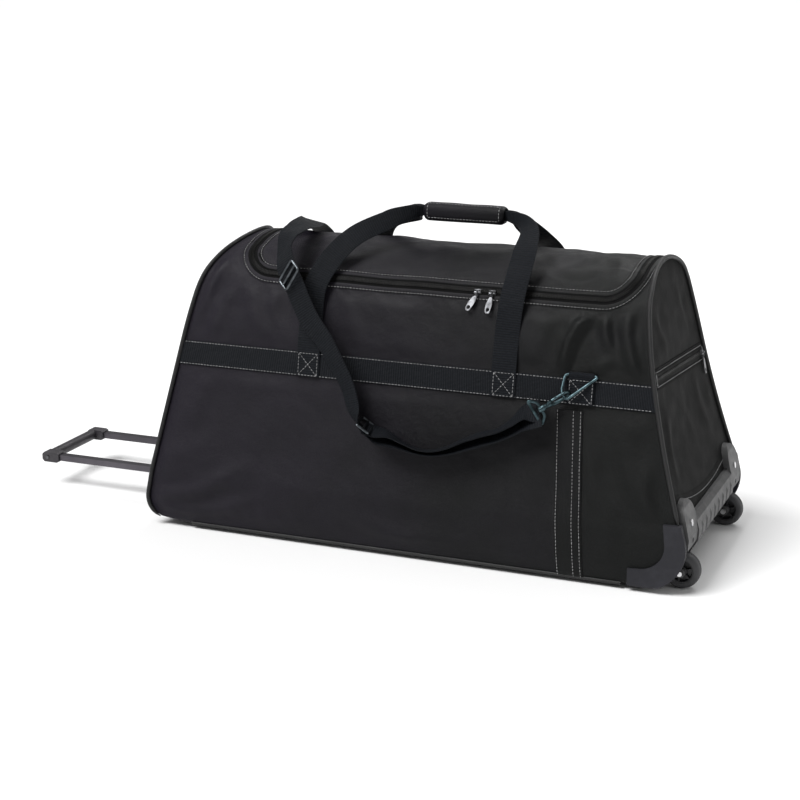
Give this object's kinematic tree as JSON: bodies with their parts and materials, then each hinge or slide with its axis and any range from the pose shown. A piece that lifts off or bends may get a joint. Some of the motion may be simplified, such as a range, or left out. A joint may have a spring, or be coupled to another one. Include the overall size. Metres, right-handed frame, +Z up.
{
  "type": "rolling duffel bag",
  "caption": "Rolling duffel bag with wheels at one end, a telescoping pull handle at the other, a zipped top flap, carry handles and a shoulder strap.",
  "frame": {"origin": "on the floor, under the middle of the bag's box with its pull handle out", "axes": "+X along the bag from the pull handle to the wheels, -Y out of the front face with the strap, +Z up"},
  "size_m": [1.155, 0.397, 0.5145],
  "materials": {
    "bag_fabric": "woven 600D polyester, matt black",
    "webbing": "ribbed polyester webbing, matt black",
    "piping": "black corded piping",
    "zip_tape": "black coil zip on woven tape",
    "lining": "plain woven lining",
    "zip_metal": "dark gunmetal plating",
    "hardware_metal": "worn dark nickel plating",
    "buckle_metal": "gunmetal plating",
    "housing_plastic": "grained mid grey plastic",
    "guard_plastic": "grained dark grey plastic",
    "wheel_tyre": "smooth dark grey polyurethane",
    "wheel_hub": "black plastic",
    "axle_steel": "zinc plated steel",
    "trolley_tube": "anodised dark grey aluminium",
    "trolley_plastic": "black plastic, fine grain",
    "base_plastic": "black ribbed plastic"
  },
  "bodies": {
    "bag": {"front_panel": "bag_fabric", "rear_panel": "bag_fabric", "bottom_panel": "bag_fabric", "handle_end_panel": "bag_fabric", "wheel_end_panel": "bag_fabric", "end_pocket_zip_chain": "zip_tape", "top_zip_chain": "zip_tape", "wheel_end_piping": "piping", "handle_end_piping": "piping", "base_piping": "piping", "front_webbing_band": "webbing", "rear_webbing_band": "webbing", "handle_sewn_ends": "webbing", "strap_front_run": "webbing", "strap_rise": "webbing", "strap_over_top": "webbing", "ring_tabs": "webbing", "front_ring": "hardware_metal", "rear_ring": "hardware_metal", "front_snap_hook": "hardware_metal", "rear_snap_hook": "hardware_metal", "lower_slide_buckle": "buckle_metal", "upper_slide_buckle": "buckle_metal", "wheel_axles": "axle_steel", "wheel_housing": "housing_plastic", "housing_screws": "axle_steel", "front_corner_guard": "guard_plastic", "rear_corner_guard": "guard_plastic", "skid_feet": "base_plastic", "base_board": "base_plastic", "cross_members": "trolley_plastic", "trolley_sleeves": "trolley_tube", "trolley_collars": "trolley_plastic", "lining_floor": "lining"},
    "trolley": {"trolley_tubes": "trolley_tube", "tube_end_plugs": "trolley_plastic", "detent_balls": "axle_steel", "detent_springs": "axle_steel", "grip_core": "axle_steel", "grip_upper_shell": "trolley_plastic", "grip_lower_shell": "trolley_plastic", "trolley_end_caps": "trolley_plastic", "cap_screws": "axle_steel"},
    "front_wheel": {"front_wheel_tyre": "wheel_tyre", "front_wheel_hub": "wheel_hub"},
    "rear_wheel": {"rear_wheel_tyre": "wheel_tyre", "rear_wheel_hub": "wheel_hub"},
    "flap": {"top_flap": "bag_fabric"},
    "front_handle": {"front_handle_webbing": "webbing", "grip_wrap": "webbing"},
    "rear_handle": {"rear_handle_webbing": "webbing"},
    "left_slider": {"left_zip_slider": "zip_metal"},
    "left_puller": {"left_zip_puller": "zip_metal"},
    "right_slider": {"right_zip_slider": "zip_metal"},
    "right_puller": {"right_zip_puller": "zip_metal"},
    "pocket_slider": {"pocket_zip_slider": "zip_metal"},
    "pocket_puller": {"pocket_zip_puller": "zip_metal"},
    "front_gate": {"front_hook_gate": "hardware_metal"},
    "rear_gate": {"rear_hook_gate": "hardware_metal"}
  },
  "joints": [
    {"name": "trolley_slide", "type": "slide", "parent": "bag", "child": "trolley", "axis": [1, 0, 0], "range_m": [0, 0.23]},
    {"name": "front_wheel_spin", "type": "hinge", "parent": "bag", "child": "front_wheel", "pos_m": [0.551, -0.148, 0.027], "axis": [0, 1, 0], "continuous": true},
    {"name": "rear_wheel_spin", "type": "hinge", "parent": "bag", "child": "rear_wheel", "pos_m": [0.551, 0.148, 0.027], "axis": [0, 1, 0], "continuous": true},
    {"name": "flap_hinge", "type": "hinge", "parent": "bag", "child": "flap", "pos_m": [0.144, 0.11, 0.41055], "axis": [-1, 0, 0], "range_deg": [0, 85], "deforming": ["strap_rise", "strap_over_top", "grip_wrap"]},
    {"name": "front_handle_fold", "type": "hinge", "parent": "bag", "child": "front_handle", "pos_m": [0.118, -0.1533, 0.303], "axis": [1, 0, 0], "range_deg": [0, 130]},
    {"name": "rear_handle_fold", "type": "hinge", "parent": "bag", "child": "rear_handle", "pos_m": [0.118, 0.1533, 0.303], "axis": [-1, 0, 0], "range_deg": [0, 130]},
    {"name": "left_slider_slide", "type": "slide", "parent": "bag", "child": "left_slider", "axis": [-1, 0, 0], "range_m": [0, 0.28]},
    {"name": "right_slider_slide", "type": "slide", "parent": "bag", "child": "right_slider", "axis": [1, 0, 0], "range_m": [0, 0.14]},
    {"name": "pocket_slider_slide", "type": "slide", "parent": "bag", "child": "pocket_slider", "axis": [-0.019, -0.9971, 0.0741], "range_m": [0, 0.25]},
    {"name": "left_puller_lift", "type": "hinge", "parent": "left_slider", "child": "left_puller", "pos_m": [0.22, -0.12087, 0.40175], "axis": [-0.9397, -0.1402, -0.3119], "range_deg": [0, 90]},
    {"name": "right_puller_lift", "type": "hinge", "parent": "right_slider", "child": "right_puller", "pos_m": [0.243, -0.12087, 0.40175], "axis": [-0.9613, -0.113, -0.2514], "range_deg": [0, 90]},
    {"name": "pocket_puller_lift", "type": "hinge", "parent": "pocket_slider", "child": "pocket_puller", "pos_m": [0.50587, 0.13153, 0.27672], "axis": [-0.0037, -1, -0.0008], "range_deg": [0, 90]},
    {"name": "front_gate_press", "type": "hinge", "parent": "bag", "child": "front_gate", "pos_m": [0.35956, -0.18454, 0.27143], "axis": [-0.6151, 0.3869, 0.6869], "range_deg": [0, 14], "stiffness_Nm_per_rad": 0.05},
    {"name": "rear_gate_press", "type": "hinge", "parent": "bag", "child": "rear_gate", "pos_m": [-0.128, 0.15934, 0.35581], "axis": [-1, 0, 0], "range_deg": [0, 14], "stiffness_Nm_per_rad": 0.05}
  ],
  "couplings": [
    {"joint": "front_handle_fold", "follows": "flap_hinge", "ratio": 1.5},
    {"joint": "rear_handle_fold", "follows": "flap_hinge", "ratio": 1.5}
  ]
}
